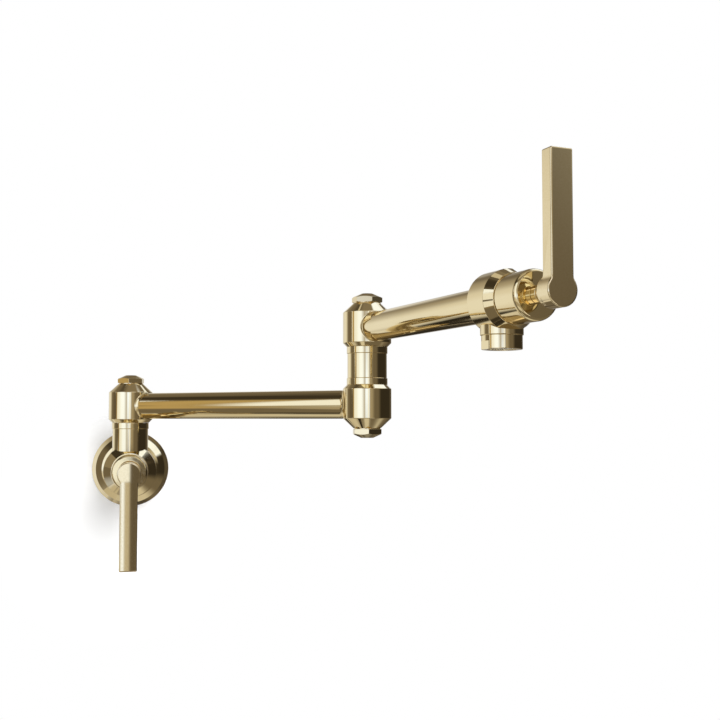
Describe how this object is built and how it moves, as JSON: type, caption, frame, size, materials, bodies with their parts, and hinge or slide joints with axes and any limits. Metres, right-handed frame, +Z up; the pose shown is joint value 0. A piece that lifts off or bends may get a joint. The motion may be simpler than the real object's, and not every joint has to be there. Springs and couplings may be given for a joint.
{
  "type": "wall mounted pot filler",
  "caption": "Wall mounted pot filler: jointed swivel arms between a wall flange and a spout, with a lever valve at each end, in polished brass.",
  "frame": {"origin": "centre of the wall flange on the face of the finished wall, at the mouth of the inlet thread", "axes": "+Z up, +Y into the wall along the inlet thread, +X to the right seen from the room"},
  "size_m": [0.3107, 0.5175, 0.3054],
  "materials": {
    "polished_brass": "mirror polished pale brass",
    "lever_brass": "polished pale brass with a finely brushed front face",
    "plain_brass": "machined and unplated",
    "black_rubber": "moulded",
    "white_bearing_plastic": "low friction, plain",
    "white_ceramic": "lapped",
    "stainless_steel": "plain",
    "aerator_plastic": "moulded"
  },
  "bodies": {
    "wall_side": {"wall_flange": "polished_brass", "flange_gasket": "black_rubber", "flange_set_screw": "stainless_steel", "inlet_shank": "plain_brass", "inlet_body": "polished_brass", "inlet_bonnet": "polished_brass", "inlet_cartridge": "plain_brass", "inlet_seat_seal": "black_rubber", "inlet_fixed_disc": "white_ceramic", "riser_post": "polished_brass", "riser_wear_ring": "polished_brass", "riser_o_rings": "black_rubber", "riser_thrust_washer": "white_bearing_plastic", "riser_retaining_ring": "stainless_steel"},
    "inlet_handle": {"inlet_moving_disc": "white_ceramic", "inlet_spindle": "plain_brass", "inlet_neck": "polished_brass", "inlet_lever": "lever_brass", "inlet_lever_grub": "stainless_steel"},
    "arm_1": {"hub_1": "polished_brass", "hub_1_bush": "white_bearing_plastic", "hub_1_cap": "polished_brass", "hub_1_cap_seal": "black_rubber", "arm_1_tube": "polished_brass", "elbow_hub": "polished_brass", "elbow_nut": "polished_brass", "elbow_nut_seal": "black_rubber", "elbow_post": "polished_brass", "elbow_lower_ring": "polished_brass", "elbow_wear_ring": "polished_brass", "elbow_o_rings": "black_rubber", "elbow_thrust_washer": "white_bearing_plastic", "elbow_retaining_ring": "stainless_steel"},
    "arm_2": {"hub_2": "polished_brass", "hub_2_bush": "white_bearing_plastic", "hub_2_cap": "polished_brass", "hub_2_cap_seal": "black_rubber", "arm_2_tube": "polished_brass", "outlet_body": "polished_brass", "outlet_bonnet": "polished_brass", "outlet_cartridge": "plain_brass", "outlet_seat_seal": "black_rubber", "outlet_fixed_disc": "white_ceramic", "spout_nipple": "polished_brass", "aerator_washer": "black_rubber", "aerator_insert": "aerator_plastic", "aerator_housing": "polished_brass"},
    "outlet_handle": {"outlet_moving_disc": "white_ceramic", "outlet_spindle": "plain_brass", "outlet_neck": "polished_brass", "outlet_lever": "lever_brass", "outlet_lever_grub": "stainless_steel"}
  },
  "joints": [
    {"name": "riser_swivel", "type": "hinge", "parent": "wall_side", "child": "arm_1", "pos_m": [0, -0.0526, 0.0631], "axis": [0, 0, 1], "range_deg": [-140.4, 39.6]},
    {"name": "elbow_swivel", "type": "hinge", "parent": "arm_1", "child": "arm_2", "pos_m": [0.20195, -0.21967, 0.129], "axis": [0, 0, 1], "continuous": true},
    {"name": "inlet_valve_turn", "type": "hinge", "parent": "wall_side", "child": "inlet_handle", "pos_m": [0, -0.0526, 0], "axis": [0, -1, 0], "range_deg": [0, 90]},
    {"name": "outlet_valve_turn", "type": "hinge", "parent": "arm_2", "child": "outlet_handle", "pos_m": [0.24739, -0.44299, 0.129], "axis": [0.1994, -0.9799, 0], "range_deg": [0, 90]}
  ]
}
